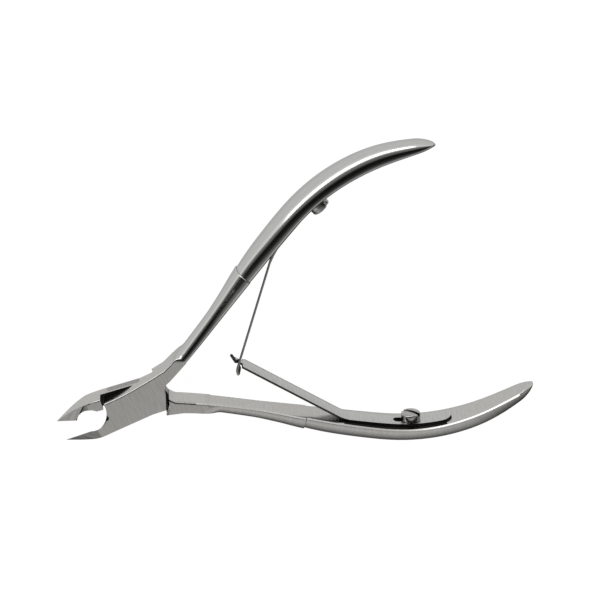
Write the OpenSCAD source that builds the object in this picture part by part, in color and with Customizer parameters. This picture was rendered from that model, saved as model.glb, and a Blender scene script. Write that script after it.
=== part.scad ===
// Cuticle nipper: two mirrored arms in a half-lap joint, a pair of leaf springs
// linked between the grips, one slotted screw holding each spring.
// Millimetres. The tool lies on its side: +Z is the joint axis, +X runs from the
// jaws to the grips, +Y is the side of the front arm's grip. Drawn held open by
// its springs; turning each arm by half_open brings the jaws together.

/* [Joint] */
// Angle between each arm and the closed line at rest
half_open = 7.2; // [4:0.1:9]
// Width of the tool across both laps
joint_w = 5.1; // [4:0.1:6]
// Gap between the two rubbing lap faces
lap_gap = 0.04; // [0.02:0.01:0.1]
// Diameter of the pivot rivet
rivet_d = 3.5; // [2.5:0.1:4.5]
// Radial running clearance of the rivet in the rear lap
rivet_clear = 0.03; // [0.02:0.01:0.08]
// Steel left over the blind end of the rivet bore in the front lap
rivet_cover = 0.5; // [0.3:0.1:1]

/* [Jaws] */
// Distance from the pivot to the tips of the blades
tip_x = 19.7; // [16:0.1:24]
// Distance from the pivot to the heel of the cutting edge
heel_x = 15.1; // [12:0.1:18]
// Height of the heel over the middle plane of the tool
heel_z = 1.9; // [1:0.1:2.5]
// Height of the tip over the middle plane of the tool
tip_z = -0.3; // [-1:0.1:1]
// Half of the gap left between the closed edges
edge_gap = 0.03; // [0.01:0.01:0.1]
// Slope of the hollow behind the cutting edge
hollow_angle = 25; // [8:1:30]
// Radius of the round throat bored through the front jaw
front_throat_r = 5.1; // [4:0.05:6]
// Lean of that bore towards the far side of the tool
front_throat_lean = 22; // [0:1:24]
// Radius of the round throat bored through the rear jaw
rear_throat_r = 3.02; // [2:0.02:4]
// Lean of that bore towards the far side of the tool
rear_throat_lean = 10; // [0:1:20]
// Start of the full-width jaw, in front of the pivot
jaw_start = 8.6; // [8:0.1:10]

/* [Grips] */
// Distance from the pivot to the end of the grip
grip_end = 84.1; // [70:0.1:95]
// Where the shank steps down to the grip
step_x = 34.6; // [30:0.1:40]
// Height of that step
step_h = 0.28; // [0.1:0.02:0.5]
// Chamfer along both edges of the inner face
edge_chamfer = 0.25; // [0.1:0.05:0.5]

/* [Springs] */
// Width of the spring strip
leaf_w = 4.5; // [3:0.1:6]
// Thickness of the spring strip
leaf_t = 0.5; // [0.3:0.05:0.6]
// Distance along the arm from the pivot to the bend of the spring
bend_x = 43; // [42.5:0.1:43.5]
// Distance along the arm to the round end of the strip
foot_end = 64.8; // [60:0.1:70]
// Angle between the free blade and the closed line, in the closed position of the arm
blade_angle = 44.8; // [40:0.1:55]
// Gap between the clamped foot and the free blade
bend_gap = 0.13; // [0.1:0.01:0.2]
// Width of the window in the front spring
window_w = 2.2; // [1.8:0.1:3]
// Radius of the curled end of the front spring
curl_r = 2; // [1.5:0.1:3]
// Width of the neck that passes the window
neck_w = 1.5; // [1:0.1:2]
// Width of the T-head behind the window
head_w = 3; // [2.6:0.1:4]
// Slant of the T-head across the strip
head_slant = 25; // [0:1:35]

/* [Screws] */
// Distance along the arm from the pivot to the screw
screw_x = 55.7; // [50:0.1:60]
// Diameter of the cheese head
screw_head_d = 4.3; // [3.5:0.1:5]
// Height of the cheese head
screw_head_h = 1.7; // [0.8:0.1:2]
// Radius around the top of the head
screw_round = 0.35; // [0.1:0.05:0.5]
// Gap under the rim of the head, which spans the hollow of the bowed strip
screw_lift = 0.08; // [0.05:0.01:0.15]
// Diameter of the screw's shank
screw_d = 2; // [1.5:0.1:2.5]
// Length of the shank below the strip
screw_len = 2.9; // [2:0.1:3.5]
// Width of the driver slot
slot_w = 0.65; // [0.4:0.05:1]
// Depth of the driver slot
slot_h = 0.6; // [0.3:0.05:0.8]

/* [Hidden] */
$fn = 48;
half_w = joint_w / 2;
steel = [0.72, 0.72, 0.71];
// Middle of the overall length, from the pivot, and the lowest side of the grips
mid_x = 30.695;
grip_half_w = 4.282;

// Inner face of one arm: distance from the pivot, height over the closed line
FACE = [[8, 1.75], [12, 3.25], [19.5, 6.4], [26, 9.35], [32.5, 12.45], [39, 15.5],
        [45.5, 18.4], [52, 21], [58.5, 22.65], [65, 23.2], [71.5, 22.8], [78, 21.6], [84.1, 20.2]];
// Half width of the arm along the same distance
HALF = [[8, 2.55], [12, 2.55], [24, 2.5], [31, 2.95], [39, 3.75], [48, 4.2], [54, 4.28],
        [61, 4.1], [67.5, 3.75], [78, 2.95], [84.1, 2.3]];
// Thickness of the arm along the same distance
DEEP = [[8, 2.75], [12, 2.5], [18, 2.6], [24, 2.8], [31, 3.2], [37, 3.75], [44, 3.95], [58, 3.95],
        [66, 3.95], [72, 3.7], [78, 2.9], [84.1, 1.6]];

// Smooth curve through [x, value] rows
function seg(t, x, i = 0) = i >= len(t) - 2 || x < t[i + 1][0] ? i : seg(t, x, i + 1);
function rise(t, i) = let (a = max(0, i - 1), b = min(len(t) - 1, i + 1))
    (t[b][1] - t[a][1]) / (t[b][0] - t[a][0]);
function curve(t, x) = let (i = seg(t, x), w = t[i + 1][0] - t[i][0], s = (x - t[i][0]) / w)
    (1 + 2 * s) * pow(1 - s, 2) * t[i][1] + s * pow(1 - s, 2) * w * rise(t, i)
    + s * s * (3 - 2 * s) * t[i + 1][1] + s * s * (s - 1) * w * rise(t, i + 1);

// Point, tangent and outward normal of the inner face at distance x
function at(x) = [x, curve(FACE, x)];
function slope(x) = let (d = at(x + 0.05) - at(x - 0.05)) d / norm(d);
function out(x) = [-slope(x)[1], slope(x)[0]];

// Stations of the lofted arm: even steps, then a rounded end
body_end = 80;
STATIONS = concat([11.4], [for (x = [12 : 2 : 34]) x], [step_x - 0.1, step_x + 0.1],
    [for (x = [36 : 2 : 42]) x], [bend_x], [for (x = [44 : 2 : body_end]) x],
    [for (a = [25 : 16.25 : 90]) body_end + (grip_end - body_end) * sin(a)]);
function tip_fade(x) = x <= body_end ? 1
    : max(0.16, sqrt(max(0, 1 - pow((x - body_end) / (grip_end - body_end), 2))));
function collar(x) = x < step_x ? step_h * min(1, max(0, (x - 24) / 8)) : 0;
function squareness(x) = x < 12.1 ? 9 : x > 17 ? 2.25 : 9 - 6.75 * (x - 12.1) / 4.9;
function pw(v, e) = sign(v) * pow(abs(v), e);

// One section across the arm, as [z, height over the inner face]
ARC = 14;
function ring(x) = let (
    inset = x < 12.1 ? 0.04 : 0,
    a = (curve(HALF, x) + collar(x)) * tip_fade(x) - inset,
    h = (curve(DEEP, x) + collar(x)) * tip_fade(x) - 2 * inset,
    c = min(edge_chamfer, h / 3), e = 2 / squareness(x))
    [for (p = concat([[a - c, 0], [a, c]],
        [for (k = [1 : ARC - 1]) [a * pw(cos(180 * k / ARC), e), c + (h - c) * pw(sin(180 * k / ARC), e)]],
        [[-a, c], [-a + c, 0]])) [p[0], p[1] + inset]];

// Solid swept through the sections; side is 1 for the front arm, -1 for the rear
module grip(side) {
    n = ARC + 3;
    m = len(STATIONS);
    pts = [for (x = STATIONS) for (q = ring(x))
        let (p = at(x) + out(x) * q[1]) [p[0], side * p[1], q[0]]];
    skin = [for (i = [0 : m - 2]) for (j = [0 : n - 1])
        let (a = i * n + j, b = i * n + (j + 1) % n) each [[a, b, b + n], [a, b + n, a + n]]];
    caps = [[for (j = [n - 1 : -1 : 0]) j], [for (j = [0 : n - 1]) (m - 1) * n + j]];
    all = concat(skin, caps);
    polyhedron(pts, side > 0 ? all : [for (f = all) [for (k = [len(f) - 1 : -1 : 0]) f[k]]]);
}

// Smooth polyline through points
function blend(p, i, t) = let (a = p[max(0, i - 1)], b = p[i], c = p[i + 1], d = p[min(len(p) - 1, i + 2)])
    ((2 * b) + (c - a) * t + (2 * a - 5 * b + 4 * c - d) * t * t + (3 * b - a - 3 * c + d) * t * t * t) / 2;
function smooth(p, n = 5) = concat([for (i = [0 : len(p) - 2]) for (k = [0 : n - 1]) blend(p, i, k / n)],
    [p[len(p) - 1]]);
function flip(p, side) = [for (q = p) [q[0], side * q[1]]];

// Back of the jaw from its tip to the lap, back_h below the closed line
function jaw_back(back_h) = smooth([[-tip_x, -edge_gap], [-17.6, -0.31 * back_h], [-15, -0.64 * back_h],
    [-12, -0.9 * back_h], [-jaw_start, -back_h]]);
module jaw_outline(back_h, side) {
    inner = side > 0 ? [[-jaw_start, 0.4], [-14, -edge_gap]] : [[-jaw_start, -1.2], [-11, -1.25], [-13.6, -edge_gap]];
    polygon(flip(concat(jaw_back(back_h), inner, [[-heel_x, -edge_gap]]), side));
}

// Round throat between the blades, leaning towards the far side; middle is its centre on the near side
module throat(side) {
    middle = side > 0 ? [-12.3, 5.05] : [-12.1, -1.1];
    translate([middle[0], middle[1], half_w]) rotate([-side * (side > 0 ? front_throat_lean : rear_throat_lean), 0, 0])
        translate([0, 0, -2 * joint_w]) cylinder(r = side > 0 ? front_throat_r : rear_throat_r, h = 3 * joint_w, $fn = 96);
}

// Flat lap: front end, back, heel of the lap and the root of the shank
front_mouth = [[-7.4, 4.38], [-11.5, 0.6], [-11.5, -1.6]];
rear_mouth = [for (a = [30 : -5 : -80]) [3.7 * cos(a) - 10.6, 3.7 * sin(a) + 2.2]];
function lap_top(root_h, mouth) = smooth([[7.9, 4.55], [4.45, root_h], [-2, 4.1], mouth[0]]);
module lap_outline(back_h, lap_h, root_h, side) {
    mouth = side > 0 ? front_mouth : rear_mouth;
    polygon(flip(concat(mouth, [[-10.2, -0.97 * back_h + 0.1], [-jaw_start, -back_h], [0.5, -lap_h],
        [3.8, -lap_h - 0.65], [5.6, -0.55], [5.85, 0.35], [7.2, 1.75], [7.9, 1.9]], lap_top(root_h, mouth)), side));
}

// Full-width root of the shank behind the lap
module shank_outline(root, side) {
    lower = [for (x = [8 : 1 : 12]) at(x)];
    upper = [for (x = [12 : -1 : 9]) at(x) + out(x) * curve(DEEP, x)];
    polygon(flip(concat(root, lower, upper), side));
}

// Everything on the side of the plane that its normal points to
module beyond(p, n, side) {
    q = [n[0], side * n[1], n[2]] / norm(n);
    u = cross([0, 1, 0], q) / norm(cross([0, 1, 0], q));
    v = cross(q, u);
    multmatrix([[u[0], v[0], q[0], p[0]], [u[1], v[1], q[1], side * p[1]], [u[2], v[2], q[2], p[2]], [0, 0, 0, 1]])
        translate([-30, -30, 0]) cube([60, 60, 30]);
}

// Jaw with its end bevel, slanted far side and hollow
edge_dir = [heel_x - tip_x, 0, tip_z - heel_z];
bevel_dir = [3.1, -3.4, 0.6];
hollow_dir = [-edge_dir[2] * cos(hollow_angle), -norm(edge_dir) * sin(hollow_angle), edge_dir[0] * cos(hollow_angle)];
heel = [-heel_x, -edge_gap, heel_z];
module jaw(back_h, side) {
    difference() {
        translate([0, 0, -half_w]) linear_extrude(joint_w) jaw_outline(back_h, side);
        beyond(heel, cross(edge_dir, bevel_dir), side);
        beyond(heel, cross(hollow_dir, edge_dir), side);
        beyond([-tip_x, 0, tip_z], [-0.27, 0.06, -0.96], side);
        beyond(heel, [-0.19, 0, 0.98], side);
    }
}

// Arm in its closed position: side 1 keeps the upper lap, side -1 the lower lap
module arm(back_h, lap_h, root, side) {
    difference() {
        union() {
            jaw(back_h, side);
            translate([0, 0, side > 0 ? lap_gap / 2 : -half_w])
                linear_extrude(half_w - lap_gap / 2) lap_outline(back_h, lap_h, root[0][1], side);
        }
        throat(side);
    }
    translate([0, 0, -half_w]) linear_extrude(joint_w) shank_outline(root, side);
    grip(side);
}

// Places children at distance x along the inner face, local +Z pointing off the face
module on_face(x, side) {
    t = slope(x);
    multmatrix([[t[0], 0, t[1], x], [side * t[1], 0, -side * t[0], side * at(x)[1]], [0, side, 0, 0], [0, 0, 0, 1]])
        children();
}

module swing(side) {
    translate([-mid_x, 0, grip_half_w]) rotate([0, 0, side * half_open]) children();
}

module screw_hole(side) {
    on_face(screw_x, side) translate([0, 0, -screw_len - 0.2]) cylinder(d = screw_d, h = screw_len + 0.7);
}

module front_arm() {
    color(steel) swing(1) difference() {
        arm(2.6, 3.25, [[4.8, 4.36], [5.75, 1.1], [7.2, 1.55]], 1);
        translate([0, 0, -1]) cylinder(d = rivet_d, h = 1 + half_w - rivet_cover);
        screw_hole(1);
    }
}

module rear_arm() {
    color(steel) swing(-1) difference() {
        arm(3.75, 4.05, [[4.3, 4.1], [5.75, 1.1], [5.95, 0.3], [6.5, 0.95], [7.2, 1.5]], -1);
        translate([0, 0, -half_w - 1]) cylinder(d = rivet_d + 2 * rivet_clear, h = half_w + 2);
        screw_hole(-1);
    }
}

module pivot_rivet() {
    color(steel) swing(1) translate([0, 0, -half_w]) cylinder(d = rivet_d, h = joint_w - rivet_cover);
}

// Clamped part of a spring: strip on the inner face with a round end and an open slot for the screw
FOOT = [for (x = STATIONS) if (x >= bend_x && x < foot_end + 2) x];
module foot(side) {
    on = [for (x = FOOT) at(x)];
    off = [for (i = [len(FOOT) - 1 : -1 : 0]) at(FOOT[i]) - out(FOOT[i]) * leaf_t];
    intersection() {
        translate([0, 0, -leaf_w / 2]) linear_extrude(leaf_w) polygon(flip(concat(on, off), side));
        on_face(screw_x, side) translate([0, 0, -2]) linear_extrude(8) difference() {
            union() {
                translate([-20, -leaf_w / 2]) square([20 + foot_end - screw_x - leaf_w / 2, leaf_w]);
                translate([foot_end - screw_x - leaf_w / 2, 0]) circle(d = leaf_w);
            }
            circle(d = screw_d);
            translate([-2.6, 0]) circle(d = screw_d);
            translate([-2.6, -screw_d / 2]) square([2.6, screw_d]);
        }
    }
}

module front_leaf_foot() { color(steel) swing(1) foot(1); }
module rear_leaf_foot() { color(steel) swing(-1) foot(-1); }

// Hinge line of the free blade, half a strip below the inner face
root = at(bend_x) - out(bend_x) * leaf_t / 2;
root_angle = atan2(root[1], root[0]);
// Length of the blade to the point where the two blades cross
reach = norm(root) * sin(root_angle + half_open) / sin(blade_angle + half_open);

// Local frame of a blade: +X along it from the hinge line, +Z across its face
module blade_frame(side) {
    swing(side) translate([root[0], side * root[1], 0]) rotate([0, 0, side * (180 + blade_angle)])
        rotate([90, 0, 0]) children();
}

// Strip of given length and width in a blade frame
module strip(x0, x1, w) {
    translate([x0, -w / 2, -leaf_t / 2]) cube([x1 - x0, w, leaf_t]);
}

// Front blade: window at the crossing, end curled back toward the grips
module front_leaf_blade() {
    color(steel) blade_frame(1) {
        difference() {
            strip(bend_gap, reach + 0.9, leaf_w);
            translate([reach - 1, -window_w / 2, -1]) cube([1.7, window_w, 2]);
        }
        translate([reach + 0.9, leaf_w / 2, -curl_r]) rotate([90, 0, 0]) difference() {
            intersection() {
                cylinder(r = curl_r + leaf_t / 2, h = leaf_w);
                cube([1.6, 4, leaf_w]);
            }
            translate([0, 0, -1]) cylinder(r = curl_r - leaf_t / 2, h = leaf_w + 2);
        }
    }
}

// Rear blade: full width up to the crossing, then a neck and a T-head
module rear_leaf_blade() {
    color(steel) blade_frame(-1) {
        strip(bend_gap, reach - 0.65, leaf_w);
        strip(reach - 0.8, reach + 1.5, neck_w);
        translate([reach + 1.5, 0, 0]) rotate([0, 0, head_slant]) strip(-0.35, 0.35, head_w);
    }
}

// Slotted cheese-head screw standing on the strip
module spring_screw(side) {
    on_face(screw_x, side) {
        translate([0, 0, -screw_len]) cylinder(d = screw_d, h = screw_len + leaf_t + 1);
        translate([0, 0, leaf_t + screw_lift]) difference() {
            rotate_extrude() {
                square([screw_head_d / 2, screw_head_h - screw_round]);
                square([screw_head_d / 2 - screw_round, screw_head_h]);
                translate([screw_head_d / 2 - screw_round, screw_head_h - screw_round]) circle(r = screw_round);
            }
            rotate([0, 0, side * 35]) translate([-5, -slot_w / 2, screw_head_h - slot_h]) cube([10, slot_w, 2]);
        }
    }
}

module front_spring_screw() { color(steel) swing(1) spring_screw(1); }
module rear_spring_screw() { color(steel) swing(-1) spring_screw(-1); }

front_arm();
rear_arm();
pivot_rivet();
front_leaf_foot();
front_leaf_blade();
rear_leaf_foot();
rear_leaf_blade();
front_spring_screw();
rear_spring_screw();
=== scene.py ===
import math

import bmesh
import bpy
import numpy as np
from mathutils import Matrix, Vector


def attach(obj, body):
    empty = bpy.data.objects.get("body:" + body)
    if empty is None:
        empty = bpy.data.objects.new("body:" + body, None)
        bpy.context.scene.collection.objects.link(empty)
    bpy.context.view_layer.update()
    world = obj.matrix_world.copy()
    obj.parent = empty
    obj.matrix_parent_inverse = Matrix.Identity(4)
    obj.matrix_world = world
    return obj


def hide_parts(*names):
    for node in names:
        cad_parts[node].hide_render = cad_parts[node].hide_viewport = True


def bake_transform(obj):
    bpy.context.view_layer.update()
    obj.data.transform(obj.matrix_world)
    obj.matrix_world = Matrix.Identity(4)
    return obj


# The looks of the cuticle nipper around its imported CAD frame. Shapes are made in millimetres in
# the frame of one closed arm (pivot at the origin, grips along +X, grip side +Y) and place()
# turns them to the rest position, in metres.
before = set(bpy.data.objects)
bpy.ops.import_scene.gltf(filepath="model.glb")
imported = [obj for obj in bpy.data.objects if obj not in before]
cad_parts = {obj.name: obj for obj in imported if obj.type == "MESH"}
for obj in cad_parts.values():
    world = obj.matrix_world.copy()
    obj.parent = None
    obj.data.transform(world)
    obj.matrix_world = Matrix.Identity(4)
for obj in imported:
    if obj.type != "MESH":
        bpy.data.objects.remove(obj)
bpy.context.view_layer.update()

# Joint: the pivot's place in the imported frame, the angle of each arm at rest, the half width
PIVOT = Vector((-30.695, 0, 4.282))
HALF_OPEN = 7.2
LAP = 2.55
RIVET_R, RIVET_BORE_R = 1.75, 1.78

# Arm, by distance from the pivot: height of its inner face, half width and thickness
FACE = [[8, 1.75], [12, 3.25], [19.5, 6.4], [26, 9.35], [32.5, 12.45], [39, 15.5], [45.5, 18.4],
        [52, 21], [58.5, 22.65], [65, 23.2], [71.5, 22.8], [78, 21.6], [84.1, 20.2]]
HALF = [[8, 2.55], [12, 2.55], [24, 2.5], [31, 2.95], [39, 3.75], [48, 4.2], [54, 4.28],
        [61, 4.1], [67.5, 3.75], [78, 2.95], [84.1, 2.3]]
DEEP = [[8, 2.75], [12, 2.5], [18, 2.6], [24, 2.8], [31, 3.2], [37, 3.75], [44, 3.95],
        [58, 3.95], [66, 3.95], [72, 3.7], [78, 2.9], [84.1, 1.6]]
# Where the shank steps down to the grip on each arm, the step's height, the grip's rounded end
STEP_X, STEP_H, BODY_END, GRIP_END = {1: 35.05, -1: 33.95}, 0.28, 80, 84.1

# Jaws: where they start, both ends of the cutting edge, the slope of the hollow behind it in
# radians, and the directions that the end facet and the hollow face
JAW_START = -8.6
HOLLOW_ANGLE = 0.436
HEEL, TIP_X, TIP_Z, EDGE_GAP = (-15.1, -0.03, 1.9), 19.7, -0.3, 0.03
EDGE = Vector((HEEL[0] + TIP_X, 0, HEEL[2] - TIP_Z)) * -1
FACET = EDGE.cross(Vector((3.1, -3.4, 0.6))).normalized()
HOLLOW = Vector((-EDGE.z * math.cos(HOLLOW_ANGLE), -EDGE.length * math.sin(HOLLOW_ANGLE),
                 EDGE.x * math.cos(HOLLOW_ANGLE))).cross(EDGE).normalized()

# Root of each shank, from the lap's back to the inner face
FRONT_ROOT = [[4.8, 4.36], [5.75, 1.1], [7.2, 1.55]]
REAR_ROOT = [[4.3, 4.1], [5.75, 1.1], [5.95, 0.3], [6.5, 0.95], [7.2, 1.5]]

# Spring strips: section, bend, round end, the blade's slope, and where the foot starts to lift off
# the grip
LEAF_W, LEAF_T, BEND_X, FOOT_END, BLADE_ANGLE = 4.5, 0.5, 43, 64.8, math.radians(44.8)
SEAT_X = 53
# Screws: place, radius and height of the head, which is a little higher than in the CAD, as the
# photograph shows it, gap under its rim, and the driver slot's half width, depth and direction
SCREW_X, SCREW_R, SCREW_H, SCREW_LIFT = 55.7, 2.15, 2.0, 0.08
SLOT_HALF, SLOT_DEPTH, SLOT_ANGLE = 0.45, 0.85, math.radians(35)
# Stretch of the grip's face seen through the foot's slot, where the face gets painted shade
SLOT_FLOOR = (50.5, 58)
# Degrees that the front blade is turned about its length, as the photograph shows it edge-on
TWIST = 9
# Painted shade on the near face of the rear jaw: both sides of a dark wedge, then a dark strip along
# its back
WEDGE = (((-15.2, -0.1), (-12.5, -3.4)), ((-15, 0.1), (-12.3, -3.2)))
STRIP_BACK, STRIP_X = ((-12.7, -3.2), (-8.4, -3.5)), (-12.7, -10.8)
# Small round nick in the throat of the front jaw, painted dark inside as shade
NICK, NICK_R, NICK_FLOOR = (JAW_START, 1.2), 0.65, 2.2


# ---------------------------------------------------------------- curves

def spline(rows):
    """Curve through (x, value) rows with continuous curvature and free ends."""
    x, y = np.array(rows, float).T
    h = np.diff(x)
    n = len(x)
    a, b = np.eye(n), np.zeros(n)
    for i in range(1, n - 1):
        a[i, i - 1:i + 2] = h[i - 1], 2 * (h[i - 1] + h[i]), h[i]
        b[i] = 6 * ((y[i + 1] - y[i]) / h[i] - (y[i] - y[i - 1]) / h[i - 1])
    m = np.linalg.solve(a, b)

    def value(t):
        i = int(np.clip(np.searchsorted(x, t) - 1, 0, n - 2))
        p, q = (x[i + 1] - t) / h[i], (t - x[i]) / h[i]
        return float(p * y[i] + q * y[i + 1]
                     + ((p ** 3 - p) * m[i] + (q ** 3 - q) * m[i + 1]) * h[i] ** 2 / 6)
    return value


face, half, deep = spline(FACE), spline(HALF), spline(DEEP)


def along(x):
    """Point, tangent and outward normal of the inner face at distance x."""
    p = Vector((x, face(x)))
    t = (Vector((x + 0.05, face(x + 0.05))) - Vector((x - 0.05, face(x - 0.05)))).normalized()
    return p, t, Vector((-t.y, t.x))


def smooth(points, steps=8):
    """Rounded polyline through points."""
    out = []
    for i in range(len(points) - 1):
        a, b = points[max(0, i - 1)], points[i]
        c, d = points[i + 1], points[min(len(points) - 1, i + 2)]
        for k in range(steps):
            t = k / steps
            out.append([(2 * b[j] + (c[j] - a[j]) * t
                         + (2 * a[j] - 5 * b[j] + 4 * c[j] - d[j]) * t * t
                         + (3 * b[j] - a[j] - 3 * c[j] + d[j]) * t ** 3) / 2 for j in (0, 1)])
    return out + [list(points[-1])]


# ---------------------------------------------------------------- mesh helpers

def to_object(name, bm):
    """Makes an object of the mesh, with its faces turned outward."""
    bmesh.ops.recalc_face_normals(bm, faces=bm.faces)
    mesh = bpy.data.meshes.new(name)
    bm.to_mesh(mesh)
    bm.free()
    obj = bpy.data.objects.new(name, mesh)
    bpy.context.scene.collection.objects.link(obj)
    return obj


def apply(obj):
    """Applies obj's modifiers."""
    bpy.context.view_layer.update()
    graph = bpy.context.evaluated_depsgraph_get()
    mesh = bpy.data.meshes.new_from_object(obj.evaluated_get(graph))
    obj.modifiers.clear()
    obj.data = mesh
    return obj


def combine(obj, other, operation):
    """Joins other to obj or cuts it away, and removes it."""
    mod = obj.modifiers.new("combine", "BOOLEAN")
    mod.operation, mod.solver, mod.object = operation, "EXACT", other
    apply(obj)
    bpy.data.objects.remove(other)
    return obj


def bevel(obj, width, segments=3, angle=30):
    """Rounds every edge sharper than angle."""
    mod = obj.modifiers.new("edges", "BEVEL")
    mod.width, mod.segments, mod.limit_method = width, segments, "ANGLE"
    mod.angle_limit = math.radians(angle)
    mod.miter_outer = "MITER_ARC"
    return apply(obj)


def ease_edges(obj, width, share, segments=5):
    """Rounds each sharp edge by its share(edge) of the width."""
    bm = bmesh.new()
    bm.from_mesh(obj.data)
    bmesh.ops.dissolve_limit(bm, angle_limit=0.002, verts=bm.verts, edges=bm.edges)
    layer = bm.edges.layers.float.new("bevel_weight_edge")
    for edge in bm.edges:
        sharp = len(edge.link_faces) == 2 and edge.calc_face_angle(0) > math.radians(30)
        edge[layer] = share(edge) if sharp else 0
    bm.to_mesh(obj.data)
    bm.free()
    mod = obj.modifiers.new("edges", "BEVEL")
    mod.width, mod.segments, mod.limit_method = width, segments, "WEIGHT"
    mod.use_clamp_overlap = False
    return apply(obj)


def prism(name, outline, low, high):
    """Outline in the XY plane extruded along Z."""
    bm = bmesh.new()
    base = bm.faces.new([bm.verts.new((x, y, low)) for x, y in outline])
    top = bmesh.ops.extrude_face_region(bm, geom=[base])["geom"]
    bmesh.ops.translate(bm, vec=(0, 0, high - low),
                        verts=[v for v in top if isinstance(v, bmesh.types.BMVert)])
    return to_object(name, bm)


def rod(name, radius, low, high, segments=64):
    """Cylinder round the Z axis."""
    ring = [(radius * math.cos(2 * math.pi * k / segments),
             radius * math.sin(2 * math.pi * k / segments)) for k in range(segments)]
    return prism(name, ring, low, high)


def cut(obj, point, normal):
    """Removes what lies on the side of the plane that its normal points to."""
    bm = bmesh.new()
    bm.from_mesh(obj.data)
    made = bmesh.ops.bisect_plane(bm, geom=bm.verts[:] + bm.edges[:] + bm.faces[:], dist=1e-5,
                                  plane_co=point, plane_no=normal, clear_outer=True)
    rim = [e for e in made["geom_cut"] if isinstance(e, bmesh.types.BMEdge)]
    bmesh.ops.edgenet_fill(bm, edges=rim)
    bmesh.ops.recalc_face_normals(bm, faces=bm.faces)
    bm.to_mesh(obj.data)
    bm.free()
    return obj


def loft(name, rings):
    """Closed skin through rings of points, with capped ends."""
    bm = bmesh.new()
    rows = [[bm.verts.new(p) for p in ring] for ring in rings]
    n = len(rows[0])
    for a, b in zip(rows, rows[1:]):
        for j in range(n):
            k = (j + 1) % n
            bm.faces.new((a[j], a[k], b[k], b[j]))
    bm.faces.new(rows[0])
    bm.faces.new(rows[-1])
    return to_object(name, bm)


def stamp(obj, where):
    """Stores each vertex's place on the steel, in millimetres, for the grain of the finish."""
    grain = obj.data.attributes.new("grain", "FLOAT_VECTOR", "POINT")
    flat = [c for v in obj.data.vertices for c in where(v)]
    grain.data.foreach_set("vector", flat)
    return obj


def place(obj, side, sharp=32):
    """Turns a shape from the closed arm's frame to rest, in metres, and shades it smooth."""
    turn = Matrix.Rotation(math.radians(side * HALF_OPEN), 4, "Z") @ Matrix.Diagonal((1, side, 1, 1))
    obj.data.transform(Matrix.Scale(0.001, 4) @ Matrix.Translation(PIVOT) @ turn)
    if side < 0:
        obj.data.flip_normals()
    obj.data.shade_smooth()
    obj.data.set_sharp_from_angle(angle=math.radians(sharp))
    return obj


def flatten_shading(obj):
    """Keeps flat faces flat between their rounded edges."""
    mod = obj.modifiers.new("flat_faces", "WEIGHTED_NORMAL")
    mod.weight, mod.keep_sharp = 100, True


# ---------------------------------------------------------------- arms

def collar(x, side):
    """Extra thickness of the shank in front of the step, with a rounded edge."""
    rise = STEP_H * min(1, max(0, (x - 24) / 8))
    into = (x - STEP_X[side] + 0.2) / 0.2
    return 0 if into >= 1 else rise * (math.sqrt(1 - into ** 2) if into > 0 else 1)


def nose(x):
    """Share of the full section left near the rounded end of the grip."""
    over = (x - BODY_END) / (GRIP_END - BODY_END)
    return 1 if over <= 0 else max(0.05, math.sqrt(max(0, 1 - over * over)))


def section(x, square_to, side, arc=40):
    """Section as (z, height over the inner face): a rounded block up to square_to, then a D with
    a flat face, chamfered corners and a bowed back."""
    inset = 0.004 if x < square_to else 0
    a = (half(x) + collar(x, side)) * nose(x) - inset
    h = (deep(x) + collar(x, side)) * nose(x) - 2 * inset
    c = min(0.3, h / 3)

    def power(length):
        return 2 / (2.25 + 21 * (1 - min(1, max(0, (x - square_to) / length))) ** 3)

    near, far = power(1.6 if square_to < 13 else 3.8), power(3.8)
    right = [(a - c - 0.02, 0), (a - c + 0.025, 0.01), (a - 0.01, c - 0.025), (a, c + 0.02)]
    bow = []
    for k in range(1, arc):
        t = math.pi * k / arc
        ct, st = math.cos(t), math.sin(t)
        e = near if ct > 0 else far
        lean = 1 - 0.065 * st ** e * min(1, max(0, (x - square_to) / 3))
        bow.append((math.copysign(abs(ct) ** e, ct) * a * lean, c + (h - c) * st ** e))
    left = [(-z, y) for z, y in reversed(right)]
    flat = [((a - c) * k, 0) for k in (-0.7, -0.34, 0, 0.34, 0.62)]
    return [(z, y + inset) for z, y in right + bow + left + flat]


def grip(name, square_to, side):
    """Shank and grip, lofted through sections that are closest together at the step and the
    rounded end, with painted shade on the face beside the clamped strip and under its slot."""
    stops = [11.4 + 0.2 * k for k in range(30)] + [17.4 + 0.4 * k for k in range(41)]
    step = STEP_X[side]
    stops += [step - d for d in (0.22, 0.19, 0.15, 0.11, 0.08, 0.05, 0.03, 0.015, 0, -0.1)]
    stops += [35.5 + 0.5 * k for k in range(90)]
    stops += [BODY_END + (GRIP_END - BODY_END) * math.sin(math.radians(a)) for a in range(6, 91, 6)]
    rings, grain = [], []
    for x in stops:
        p, _, out = along(x)
        ring = section(x, square_to, side)
        rings.append([(p.x + out.x * y, p.y + out.y * y, z) for z, y in ring])
        walk = 0
        for j, (z, y) in enumerate(ring):
            walk += math.hypot(z - ring[j - 1][0], y - ring[j - 1][1]) if j else 0
            grain.append((x, walk, 0))
    obj = loft(name, rings)
    # Painted shade: near black on the grip's face under the foot's slot and beside the clamped strip
    for part in obj.data.polygons:
        c = part.center
        under_slot = SLOT_FLOOR[0] < c.x < SLOT_FLOOR[1] and abs(c.z) < 1.3
        beside_leaf = BEND_X - 1.5 < c.x < FOOT_END - 1.3 and 2.3 < c.z < half(c.x) - 0.35
        if (under_slot or beside_leaf) and c.y < face(c.x) + 0.2:
            part.material_index = 1
    return stamp(obj, lambda v: grain[v.index])


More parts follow.
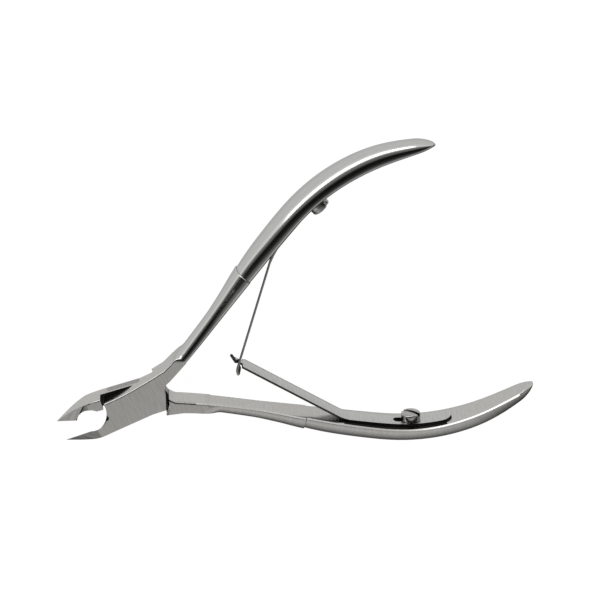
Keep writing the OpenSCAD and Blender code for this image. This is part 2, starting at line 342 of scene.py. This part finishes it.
def jaw(name, back_h, side):
    """Jaw with its slanted end facet, far side and hollow, before the throat is bored."""
    back = smooth([[-TIP_X, -EDGE_GAP], [-17.6, -0.31 * back_h], [-15, -0.64 * back_h],
                   [-12, -0.9 * back_h], [JAW_START, -back_h]])
    inner = [(JAW_START, 0.4), (-14, -EDGE_GAP)]
    if side < 0:
        inner = [(JAW_START, -1.2), (-11, -1.25), (-13.6, -EDGE_GAP)]
    obj = prism(name, back + inner + [(HEEL[0], -EDGE_GAP)], -LAP, LAP)
    cut(obj, HEEL, FACET)
    cut(obj, HEEL, HOLLOW)
    cut(obj, (-TIP_X, 0, TIP_Z), Vector((-0.27, 0.06, -0.96)))
    cut(obj, HEEL, Vector((-0.19, 0, 0.98)))
    return obj


def lap(name, back_h, lap_h, root_h, side):
    """Flat lap of the joint, from the mouth between the jaws to the root of the shank."""
    mouth = [(-7.4, 4.38), (-11.5, 0.6), (-11.5, -1.6)]
    if side < 0:
        mouth = [(-10.6 + 3.7 * math.cos(a), 2.2 + 3.7 * math.sin(a))
                 for a in np.radians(range(30, -85, -5))]
    top = smooth([[7.9, 4.55], [4.45, root_h], [-2, 4.1], mouth[0]])
    heel = [[-10.2, -0.97 * back_h + 0.1], [JAW_START, -back_h], [0.5, -lap_h],
            [3.8, -lap_h - 0.65], [5.6, -0.55], [5.85, 0.35], [7.2, 1.75], [7.9, 1.9]]
    low, high = (0.02, LAP) if side > 0 else (-LAP, -0.02)
    return prism(name, mouth + heel + top[:-1], low, high)


def shank_root(name, root):
    """Square root of the shank, longer than needed."""
    lower = [list(along(x)[0]) for x in np.arange(8, 16.1, 0.5)]
    upper = []
    for x in np.arange(16, 8.9, -0.5):
        p, _, out = along(x)
        upper.append(list(p + out * deep(x)))
    return prism(name, root + lower + upper, -LAP, LAP)


def edge_share(edge, side):
    """How far an edge of an arm is rounded: most along its near face, not at all at the blades."""
    a, b = (v.co for v in edge.verts)
    front_end = min(a.x, b.x)
    if front_end < -11:
        return 0
    if abs(a.z - b.z) > 1 and (a.xy - Vector(FRONT_ROOT[0])).length < 0.3:
        return 1
    wall = min((f.normal for f in edge.link_faces), key=lambda n: abs(n.z))
    if abs(a.z - LAP) > 0.01 or abs(b.z - LAP) > 0.01:
        return 0.07 if front_end > -7 else 0
    if side * wall.y < 0.3:
        return 0.2 if front_end > -7 else 0
    return min(0.7 if front_end < 4 or side > 0 else 1, (front_end + 11.2) / 2)


def score(obj, lines):
    """Splits the near face of a jaw along lines of (point, point)."""
    bm = bmesh.new()
    bm.from_mesh(obj.data)
    for a, b in lines:
        near = [f for f in bm.faces if f.normal.z > 0.8 and f.calc_center_median().x < -8.4]
        parts = dict.fromkeys(part for f in near for part in (f, *f.edges, *f.verts))
        bmesh.ops.bisect_plane(bm, geom=list(parts), dist=1e-5, plane_co=(*a, 0),
                               plane_no=(b[1] - a[1], a[0] - b[0], 0))
    bm.to_mesh(obj.data)
    bm.free()


def beyond(point, line):
    """Which side of a (point, point) line a point lies on, as a signed distance."""
    (ax, ay), (bx, by) = line
    return ((bx - ax) * (point.y - ay) - (by - ay) * (point.x - ax)) / math.hypot(bx - ax, by - ay)


def is_slanted(part):
    """Whether a face is the steep end of a jaw, on or beside its facet."""
    c, normal = part.center, part.normal
    on_facet = c.x < -11 and normal.dot(FACET) > 0.97
    return on_facet or (c.x < -12.5 and normal.x < -0.1 and normal.z > 0.9)


def is_dark(part, side):
    """Whether a face gets painted shade: the nick, or the wedge and the strip of the rear jaw."""
    c = part.center
    if side > 0:
        return NICK_FLOOR - 0.1 < c.z < 2.5 and (c.xy - Vector(NICK)).length < NICK_R + 0.01
    if part.normal.z <= 0.8:
        return False
    in_wedge = beyond(c, WEDGE[0]) > 0 > beyond(c, WEDGE[1]) and c.y < 0 and c.x < -12
    at_back = beyond(c, STRIP_BACK) < 0 and STRIP_X[0] < c.x < STRIP_X[1] and c.z > 2.4
    return in_wedge or at_back


def head(name, back_h, lap_h, root, throat, square_to, side):
    """Everything of an arm in front of its grip. throat is the middle, radius and lean of the
    bore between the blades."""
    obj = jaw(name, back_h, side)
    combine(obj, lap("lap", back_h, lap_h, root[0][1], side), "UNION")
    combine(obj, shank_root("shank", root), "UNION")
    bore = rod("bore", throat[2], -12, 8, 120)
    bore.matrix_world = (Matrix.Translation((*throat[:2], LAP))
                         @ Matrix.Rotation(math.radians(-throat[3]), 4, "X"))
    combine(obj, bore, "DIFFERENCE")
    if side < 0:
        combine(obj, rod("bore", RIVET_BORE_R, -5, 5), "DIFFERENCE")
    ease_edges(obj, 0.5, lambda edge: edge_share(edge, side))
    if side > 0:
        nick = rod("nick", NICK_R, NICK_FLOOR, 5)
        nick.matrix_world = Matrix.Translation((*NICK, 0))
        combine(obj, nick, "DIFFERENCE")
    else:
        strip_end = ((STRIP_X[1], 0), (STRIP_X[1], -4))
        score(obj, (*WEDGE, STRIP_BACK, strip_end))
    inner, (outer, _, out) = along(square_to + 1)[0], along(square_to - 0.3)
    slant = inner - outer - out * deep(square_to - 0.3)
    cut(obj, (*inner, 0), Vector((-slant.y, slant.x, 0)).normalized())
    for part in obj.data.polygons:
        # Painted shade: near black on the nick and on the rear jaw's wedge and strip
        if is_dark(part, side):
            part.material_index = 2
        # Slanted end of a jaw; on the front jaw its steel is darker, as painted shade
        elif is_slanted(part):
            part.material_index = 1
        # Painted shade: the throat walls take the darker steel
        elif part.center.x < -8 and part.normal.y > 0.25 and abs(part.normal.z) < 0.9:
            part.material_index = 3
        # Painted shade: the laps' faces inside the joint are near black, like the shaded gap between
        # the arms
        elif abs(part.center.z) < 0.1 and abs(part.normal.z) > 0.9:
            part.material_index = 2
    return stamp(obj, lambda v: v.co)


def make_arm(body, back_h, lap_h, root, throat, square_to, side):
    """Head and grip of one arm, at rest on its body."""
    pieces = [head(body + "_head", back_h, lap_h, root, throat, square_to, side),
              grip(body + "_grip", square_to, side)]
    for piece in pieces:
        place(piece, side)
        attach(piece, body)
        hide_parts(body + "_arm")
    flatten_shading(pieces[0])
    return pieces


# ---------------------------------------------------------------- springs

def spring_path(curl, bend_x, soften, straight):
    """Middle line of a strip from the round end of its foot to the end of its blade, and the
    distances along it to the screw and to the crossing of the blades. straight is
    how far the foot bridges the hollow of the grip instead of following it."""
    foot = []
    for k in range(0, 111):
        x = FOOT_END - (FOOT_END - bend_x) * k / 110
        p, _, out = along(x)
        foot.append(p - out * LEAF_T / 2)
    root = foot[-1]
    seat = next(i for i, q in enumerate(foot) if (q - foot[0]).length > FOOT_END - SEAT_X)
    for i in range(seat, len(foot)):
        foot[i] = foot[i].lerp(foot[seat].lerp(root, (i - seat) / (len(foot) - 1 - seat)), straight)
    p, _, out = along(BEND_X)
    crossing = p - out * LEAF_T / 2 + Vector((-math.cos(BLADE_ANGLE), -math.sin(BLADE_ANGLE))) * REACH
    reach, aim = (crossing - root).length, (crossing - root).normalized()
    blade = [root + aim * s for s in np.arange(0.25, reach + 0.9, 0.25)]
    if curl:
        end, side = root + aim * (reach + 0.9), Vector((-aim.y, aim.x))
        for a in np.radians(np.arange(0, 54, 4)):
            blade.append(end + aim * 2 * math.sin(a) + side * 2 * (1 - math.cos(a)))
    else:
        blade += [root + aim * s for s in np.arange(reach + 0.9, reach + 3, 0.25)]
    line = foot + blade
    size = [0.0]
    for a, b in zip(line, line[1:]):
        size.append(size[-1] + (b - a).length)
    bend = size[len(foot) - 1]
    soft = []
    for s in np.arange(0, size[-1], 0.2):
        blur = soften * math.exp(-((s - bend) / (1.6 * soften)) ** 2)
        near = [s + blur * k / 4 for k in range(-4, 5)]
        soft.append(np.mean([[np.interp(t, size, [q.x for q in line]),
                              np.interp(t, size, [q.y for q in line])] for t in near], axis=0))
    screw = np.interp(FOOT_END - SCREW_X, [0, FOOT_END - bend_x], [0, bend])
    return np.array(soft), screw, bend + reach


def plate(name, outline, holes=()):
    """Flat strip of the leaf's thickness with rounded edges; the outline is (along, across)."""
    obj = prism(name, outline, -LEAF_T / 2, LEAF_T / 2)
    for hole in holes:
        combine(obj, prism("hole", hole, -1, 1), "DIFFERENCE")
    return bevel(obj, 0.05, 2)


def blacken(obj, from_u):
    """Gives the sheared edges of the strip, and all of it beyond from_u, the strip's second material.
    """
    for part in obj.data.polygons:
        if abs(part.normal.z) < 0.4 or part.center.x > from_u:
            part.material_index = 1


def curve_plate(obj, line, twist=(0, 1, 0.0)):
    """Slices a flat strip finely and wraps it round the middle line. twist turns it about that
    line between two distances, in degrees."""
    bm = bmesh.new()
    bm.from_mesh(obj.data)
    for u in np.arange(0.3, 60, 0.3):
        bmesh.ops.bisect_plane(bm, geom=bm.verts[:] + bm.edges[:] + bm.faces[:], dist=1e-6,
                               plane_co=(u, 0, 0), plane_no=(1, 0, 0))
    bmesh.ops.triangulate(bm, faces=[f for f in bm.faces if len(f.verts) > 4])
    bm.to_mesh(obj.data)
    bm.free()
    stamp(obj, lambda v: (v.co.x, v.co.y, v.co.z))
    steps = np.arange(len(line)) * 0.2
    tangent = np.gradient(line, axis=0)
    tangent /= np.linalg.norm(tangent, axis=1)[:, None]
    for v in obj.data.vertices:
        u, t, w = v.co.x, v.co.z, v.co.y
        turned = math.radians(twist[2]) * min(1, max(0, (u - twist[0]) / (twist[1] - twist[0])))
        ct, st = math.cos(turned), math.sin(turned)
        t, w = t * ct - w * st, t * st + w * ct
        p = [np.interp(u, steps, line[:, i]) for i in (0, 1)]
        d = Vector([np.interp(u, steps, tangent[:, i]) for i in (0, 1)]).normalized()
        v.co = p[0] - d.y * t, p[1] + d.x * t, w
    return obj


def round_slot(x0, x1, r, steps=12):
    """Outline of a slot with round ends, between the middles of its ends."""
    right = [(x1 + r * math.sin(a), -r * math.cos(a)) for a in np.linspace(0, math.pi, steps)]
    left = [(x0 - r * math.sin(a), r * math.cos(a)) for a in np.linspace(0, math.pi, steps)]
    return right + left


def foot_end_outline():
    """Round end of a strip, at the start of its outline."""
    w = LEAF_W / 2
    return [(w - w * math.cos(a), w * math.sin(a)) for a in np.linspace(math.pi / 2, -math.pi / 2, 24)]


def front_spring():
    """Front strip: slot for its screw, window at the crossing, end narrowed and curled back."""
    line, screw, at = spring_path(True, BEND_X, 1.1, 0.8)
    w, end = LEAF_W / 2, at + 0.9 + 1.8
    taper = [(at - REACH + 2, w), (at - 4, w - 0.5), (end - 0.6, w - 0.5), (end - 0.15, w - 0.65),
             (end, w - 1.1)]
    outline = foot_end_outline() + [(u, -v) for u, v in taper] + taper[::-1]
    window = [(at - 1, -1.1), (at + 0.7, -1.1), (at + 0.7, 1.1), (at - 1, 1.1)]
    obj = plate("front_spring", outline, [round_slot(screw, screw + 2.6, 1.0), window])
    blacken(obj, 100)
    return curve_plate(obj, line, (at - REACH + 0.5, at - REACH + 3, TWIST))


def rear_spring():
    """Rear strip: slot for its screw, and beyond the crossing a neck with a slanted head."""
    line, screw, at = spring_path(False, 41.6, 1.6, 0.3)
    w = LEAF_W / 2
    outline = foot_end_outline()
    outline += [(at - 1.25, -w), (at - 0.65, -w + 0.6), (at - 0.65, -0.75), (at + 1.35, -0.75)]
    outline += [(at + 1.35, 0.75), (at - 0.65, 0.75), (at - 0.65, w)]
    obj = plate("rear_spring", outline, [round_slot(screw, screw + 2.6, 1.0)])
    slant = math.radians(25)
    bar = prism("bar", round_slot(-1.18, 1.18, 0.32), -0.25, 0.25)
    bar.data.transform(Matrix.Translation((at + 1.5, 0, 0))
                       @ Matrix.Rotation(slant + math.pi / 2, 4, "Z"))
    combine(obj, bevel(bar, 0.12, 3), "UNION")
    blacken(obj, at - 0.6)
    return curve_plate(obj, line)


def make_spring(obj, body, side):
    """Puts a strip at rest, with its foot on the arm, and hides the strip's parts of the CAD."""
    place(obj, side, 40)
    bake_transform(obj)
    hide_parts(body + "_leaf_foot", body + "_leaf_blade")
    return obj


# ---------------------------------------------------------------- screws and rivet

def lathe(name, profile, segments=72):
    """Profile of (radius, height) turned round Z."""
    turns = [2 * math.pi * k / segments for k in range(segments)]
    return loft(name, [[(r * math.cos(a), r * math.sin(a), z) for a in turns] for r, z in profile])


def stamp_turned(obj):
    """Grain round the axis of a turned piece."""
    return stamp(obj, lambda v: (math.hypot(v.co.x, v.co.y), v.co.z, math.atan2(v.co.y, v.co.x)))


def screw(body, side):
    """Slotted screw with a domed head, on the strip of one arm. Its slot is painted dark inside, as
    shade.
    """
    top, r = SCREW_H, SCREW_R
    profile = [(1, -3.2), (1, 0.02), (1.75, 0.02), (r - 0.06, 0.03), (r, 0.1), (r, top - 0.65)]
    profile += [(r - 0.5 + 0.5 * math.cos(a), top - 0.62 + 0.42 * math.sin(a))
                for a in np.radians(np.arange(0, 72, 8))]
    profile += [(r * f, top - 0.3 * f * f) for f in (0.75, 0.6, 0.45, 0.3, 0.15, 0.02)]
    obj = lathe(body + "_screw", profile)
    slot = prism("slot", [(-5, -SLOT_HALF), (5, -SLOT_HALF), (5, SLOT_HALF), (-5, SLOT_HALF)],
                 top - SLOT_DEPTH, top + 1)
    slot.matrix_world = Matrix.Rotation(SLOT_ANGLE, 4, "Z")
    combine(obj, slot, "DIFFERENCE")
    bevel(obj, 0.05, 2, 40)
    # Painted shade: the inside of the slot is near black
    for part in obj.data.polygons:
        c = part.center
        across = abs(-c.x * math.sin(SLOT_ANGLE) + c.y * math.cos(SLOT_ANGLE))
        if across < SLOT_HALF - 0.01 and 0.5 < c.z < top - 0.5 and c.xy.length < r - 0.02:
            part.material_index = 1
    stamp_turned(obj)
    p, t, out = along(SCREW_X)
    base = p - out * (LEAF_T + SCREW_LIFT)
    obj.data.transform(Matrix(((t.x, 0, t.y, base.x), (t.y, 0, -t.x, base.y),
                               (0, 1, 0, 0), (0, 0, 0, 1))))
    place(obj, side)
    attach(obj, body)
    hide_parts(body + "_spring_screw")
    return obj


def rivet():
    """Pivot rivet with an eased rim on the far side."""
    r = RIVET_R
    profile = [(0.02, -2.53), (0.9, -2.53), (1.5, -2.5), (r - 0.08, -2.45), (r, -2.36), (r, 2.0),
               (0.02, 2.0)]
    obj = stamp_turned(lathe("pivot_rivet_turned", profile))
    place(obj, 1)
    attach(obj, "front")
    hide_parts("pivot_rivet")
    return obj


# ---------------------------------------------------------------- materials

def noise(tree, vector, scale, detail, turn=0.0):
    """Noise over the grain coordinates, turned about Z and then stretched."""
    for kind, value in (("Rotation", (0, 0, math.radians(turn))), ("Scale", scale)):
        mapping = tree.nodes.new("ShaderNodeMapping")
        mapping.inputs[kind].default_value = value
        tree.links.new(vector, mapping.inputs["Vector"])
        vector = mapping.outputs["Vector"]
    node = tree.nodes.new("ShaderNodeTexNoise")
    node.inputs["Scale"].default_value = 1
    node.inputs["Detail"].default_value = detail
    node.inputs["Roughness"].default_value = 0.6
    tree.links.new(vector, node.inputs["Vector"])
    return node.outputs["Fac"]


def sum_of(tree, a, share, b):
    """a * share + b."""
    node = tree.nodes.new("ShaderNodeMath")
    node.operation = "MULTIPLY_ADD"
    node.inputs[1].default_value = share
    tree.links.new(a, node.inputs[0])
    tree.links.new(b, node.inputs[2])
    return node.outputs[0]


def steel(name, tone, rough, spread, streak, fine, bump, vary=0.12, turn=0.0, edge=1.0):
    """Ground steel. streak and fine scale the coarse and the thin grain along the attribute's
    axes, turned about Z; spread is how far the roughness varies, vary how far the tone does,
    bump the depth of the lines, edge the brightness at a grazing angle."""
    mat = bpy.data.materials.new(name)
    mat.use_nodes = True
    tree = mat.node_tree
    shader = tree.nodes["Principled BSDF"]
    shader.inputs["Metallic"].default_value = 1.0
    shader.inputs["Specular Tint"].default_value = (edge, edge, edge, 1)
    place_on = tree.nodes.new("ShaderNodeAttribute")
    place_on.attribute_name = "grain"
    spot = place_on.outputs["Vector"]
    coarse = noise(tree, spot, streak, 4, turn)
    both = sum_of(tree, noise(tree, spot, fine, 2, turn), 0.5, coarse)
    cloud = noise(tree, spot, (0.35, 0.35, 0.35), 3)
    colour = tree.nodes.new("ShaderNodeValToRGB")
    colour.color_ramp.elements[0].position, colour.color_ramp.elements[1].position = 0.5, 1.0
    colour.color_ramp.elements[0].color = (*[c * (1 - vary) for c in tone], 1)
    colour.color_ramp.elements[1].color = (*[min(1, c * (1 + vary)) for c in tone], 1)
    tree.links.new(both, colour.inputs["Fac"])
    tree.links.new(colour.outputs["Color"], shader.inputs["Base Color"])
    ranged = tree.nodes.new("ShaderNodeMapRange")
    ranged.inputs["From Min"].default_value, ranged.inputs["From Max"].default_value = 0.45, 1.15
    ranged.inputs["To Min"].default_value = rough - spread
    ranged.inputs["To Max"].default_value = rough + spread
    tree.links.new(sum_of(tree, cloud, 0.6, coarse), ranged.inputs["Value"])
    tree.links.new(ranged.outputs["Result"], shader.inputs["Roughness"])
    lines = tree.nodes.new("ShaderNodeBump")
    lines.inputs["Strength"].default_value = 1.0
    lines.inputs["Distance"].default_value = bump * 0.001
    tree.links.new(both, lines.inputs["Height"])
    tree.links.new(lines.outputs["Normal"], shader.inputs["Normal"])
    return mat


def finish_pieces(arms, springs, screws, pin):
    """Makes the finishes and gives each piece its own, in the order of its material indices."""
    coarse, fine = (5, 0.3, 1), (14, 0.6, 1)
    tip_coarse, tip_fine = (2.2, 0.15, 1), (8, 0.4, 2)
    ground = steel("ground_steel", (0.415, 0.405, 0.385), 0.22, 0.05, (5.5, 0.2, 5.5), (13, 0.5, 13),
                   0.006, 0.2, 8, 0.85)
    facet = steel("facet_steel", (0.31, 0.305, 0.29), 0.25, 0.05, tip_coarse, tip_fine, 0.008, 0.3, 132)
    # Painted shade: near-black steel for the joint's gap, the nick, the rear jaw's wedge and strip, the
    # grip beside and under the strip, and the screw slots
    painted_shade = steel("painted_shade_steel", (0.03, 0.03, 0.028), 0.4, 0.1, (4, 1, 4), (12, 3, 12), 0.004,
                   0.12, 0, 0.2)
    satin = steel("satin_steel", (0.41, 0.41, 0.4), 0.14, 0.03, (0.4, 4, 1), (1, 12, 1), 0.001,
                  0.06, 0, 0.75)
    leaf = steel("leaf_steel", (0.39, 0.39, 0.38), 0.24, 0.05, coarse, fine, 0.004, 0.16)
    # Painted shade: a darker copy of the leaf steel for the whole front strip, which is seen edge-on
    edge_on_shade = steel("shaded_leaf_steel", (0.27, 0.265, 0.25), 0.3, 0.06, coarse, fine, 0.004, 0.16, 0, 0.3)
    sheared = steel("sheared_steel", (0.05, 0.05, 0.048), 0.3, 0.06, (5, 0.8, 1), (14, 2, 1), 0.004,
                    0.12, 0, 0.2)
    turned = steel("turned_steel", (0.32, 0.315, 0.3), 0.2, 0.04, (9, 3, 2.5), (30, 9, 7), 0.006, 0.5)
    brushed = steel("brushed_steel", (0.415, 0.408, 0.392), 0.2, 0.04, (3, 0.3, 1), (8, 0.8, 1), 0.002,
                    0.12, 0, 0.75)
    # Painted shade: a darker copy of the ground steel for the throat walls
    hollow = steel("throat_shade_steel", (0.2, 0.195, 0.185), 0.3, 0.05, (3, 3, 0.3), (9, 9, 0.8), 0.004,
                   0.2, 0, 0.4)
    # Painted shade: a darker copy of the facet steel for the front jaw's slanted end, which faces away
    # from the light
    tip = steel("tip_shade_steel", (0.22, 0.215, 0.2), 0.25, 0.05, tip_coarse, tip_fine, 0.006, 0.3, 132, 0.4)
    for (head_piece, grip_piece), end, skin in zip(arms, (tip, facet), (satin, brushed)):
        for mat in (ground, end, painted_shade, hollow):
            head_piece.data.materials.append(mat)
        grip_piece.data.materials.append(skin)
        grip_piece.data.materials.append(painted_shade)
    for piece, pair in zip(springs, ((edge_on_shade, edge_on_shade), (leaf, sheared))):
        for mat in pair:
            piece.data.materials.append(mat)
    for piece in screws + [pin]:
        piece.data.materials.append(turned)
        piece.data.materials.append(painted_shade)


# ---------------------------------------------------------------- stage

def floor():
    """Pale floor that glows just below white. It isn't seen in reflections, so the steel
    reflects the tent all round."""
    bm = bmesh.new()
    bmesh.ops.create_grid(bm, x_segments=2, y_segments=2, size=10)
    obj = to_object("floor", bm)
    obj.location.z = -0.0002
    mat = bpy.data.materials.new("pale_floor")
    mat.use_nodes = True
    shader = mat.node_tree.nodes["Principled BSDF"]
    shader.inputs["Base Color"].default_value = (0.12, 0.12, 0.12, 1)
    shader.inputs["Roughness"].default_value = 0.9
    shader.inputs["Specular IOR Level"].default_value = 0.1
    shader.inputs["Emission Color"].default_value = (1, 1, 1, 1)
    shader.inputs["Emission Strength"].default_value = 0.97
    obj.data.materials.append(mat)
    obj.visible_glossy = False


def softbox(name, at, size, glow, towards=(0.0, 0.0, 0.0)):
    """Rectangular light of the given radiance."""
    data = bpy.data.lights.new(name, "AREA")
    data.shape, data.size, data.size_y = "RECTANGLE", size[0], size[1]
    data.energy = glow * math.pi * size[0] * size[1]
    obj = bpy.data.objects.new(name, data)
    obj.location = at
    obj.rotation_mode = "QUATERNION"
    obj.rotation_quaternion = (Vector(towards) - Vector(at)).to_track_quat("-Z", "Y")
    bpy.context.scene.collection.objects.link(obj)


def grade(tree, value, low, high):
    """Map Range node from value between low and high to 0...1."""
    node = tree.nodes.new("ShaderNodeMapRange")
    node.inputs["From Min"].default_value, node.inputs["From Max"].default_value = low, high
    tree.links.new(value, node.inputs["Value"])
    return node.outputs["Result"]


def flag(tree, split):
    """Strength of the tent, lowered by a grey flag on the -Y side, towards the grips."""
    both = tree.nodes.new("ShaderNodeMath")
    both.operation = "MULTIPLY"
    tree.links.new(grade(tree, split.outputs["X"], 0.0, 0.1), both.inputs[0])
    tree.links.new(grade(tree, split.outputs["Y"], -0.45, -0.7), both.inputs[1])
    strength = tree.nodes.new("ShaderNodeMath")
    strength.operation = "MULTIPLY_ADD"
    strength.inputs[1].default_value, strength.inputs[2].default_value = -1.2, 2.0
    tree.links.new(both.outputs[0], strength.inputs[0])
    return strength.outputs[0]


def studio():
    """A pale tent with a dark strip overhead, as the band on polished steel needs. Its levels are
    (degrees round the tool's length, brightness): straight down at -180 and 180, the -Y horizon
    at -90, overhead at 0 and the +Y horizon at 90."""
    world = bpy.data.worlds.new("studio")
    bpy.context.scene.world = world
    world.use_nodes = True
    tree = world.node_tree
    look = tree.nodes.new("ShaderNodeTexCoord")
    split = tree.nodes.new("ShaderNodeSeparateXYZ")
    round_it = tree.nodes.new("ShaderNodeMath")
    round_it.operation = "ARCTAN2"
    ramp = tree.nodes.new("ShaderNodeValToRGB")
    levels = [(-180, 0.95), (-168, 0.85), (-160, 0.4), (-152, 0.16), (-130, 0.12), (-100, 0.24),
              (-78, 0.5), (-62, 0.68), (-52, 0.76), (-47, 1.02), (-42, 0.8), (-36, 0.77), (-31, 0.87),
              (-25, 0.84), (-21, 0.52), (-18, 0.33), (-9, 0.24), (-3, 0.07), (5, 0.02), (18, 0.005),
              (28, 0.02), (33, 0.24), (49, 0.32), (56, 1.0), (61, 1.4), (80, 1.3), (100, 1.08),
              (120, 1.12), (150, 1.1), (180, 0.95)]
    points = ramp.color_ramp.elements
    while len(points) < len(levels):
        points.new(0.5)
    for point, (angle, level) in zip(points, levels):
        point.position, point.color = (angle + 180) / 360, (level / 2, level / 2, level / 2, 1)
    tree.links.new(look.outputs["Generated"], split.inputs[0])
    tree.links.new(split.outputs["Y"], round_it.inputs[0])
    tree.links.new(split.outputs["Z"], round_it.inputs[1])
    tree.links.new(grade(tree, round_it.outputs[0], -math.pi, math.pi), ramp.inputs["Fac"])
    tree.links.new(ramp.outputs["Color"], tree.nodes["Background"].inputs["Color"])
    tree.links.new(flag(tree, split), tree.nodes["Background"].inputs["Strength"])
    softbox("far_side", (-0.2, 1.1, 0.52), (1.55, 0.42), 2.3)
    softbox("tip_side", (-1.03, 0.0, 0.7), (0.5, 0.3), 1.3)


def camera():
    """Long lens at the photograph's angle, above the +Y side, which is the picture's top."""
    data = bpy.data.cameras.new("camera")
    data.lens, data.sensor_width = 150, 36
    data.clip_start, data.clip_end = 0.01, 20
    obj = bpy.data.objects.new("camera", data)
    bpy.context.scene.collection.objects.link(obj)
    bpy.context.scene.camera = obj
    eye, target = Vector((68.3, 227.5, 498.2)), Vector((10.24, 8.49, 4.28))
    back = (eye - target).normalized()
    right = Vector((0.3626, 0.8354, -0.413)).cross(back).normalized()
    axes = Matrix((right, back.cross(right), back)).transposed().to_4x4()
    obj.matrix_world = Matrix.Translation(eye * 0.001) @ axes


def blade_reach():
    """Length of a blade from its bend to where the two cross."""
    p, _, out = along(BEND_X)
    root = p - out * LEAF_T / 2
    lean = math.atan2(root.y, root.x) + math.radians(HALF_OPEN)
    return root.length * math.sin(lean) / math.sin(BLADE_ANGLE + math.radians(HALF_OPEN))


REACH = blade_reach()
arm_pieces = [
    make_arm("front", back_h=2.6, lap_h=3.25, root=FRONT_ROOT, throat=(-12.3, 5.05, 5.1, 22),
             square_to=12.2, side=1),
    make_arm("rear", back_h=3.75, lap_h=4.05, root=REAR_ROOT, throat=(-12.1, 1.1, 3.02, 10),
             square_to=13.4, side=-1)]
spring_pieces = [make_spring(front_spring(), "front", 1), make_spring(rear_spring(), "rear", -1)]
screw_pieces = [screw("front", 1), screw("rear", -1)]
finish_pieces(arm_pieces, spring_pieces, screw_pieces, rivet())
floor()
studio()
camera()
bpy.context.scene.view_settings.view_transform = "Standard"
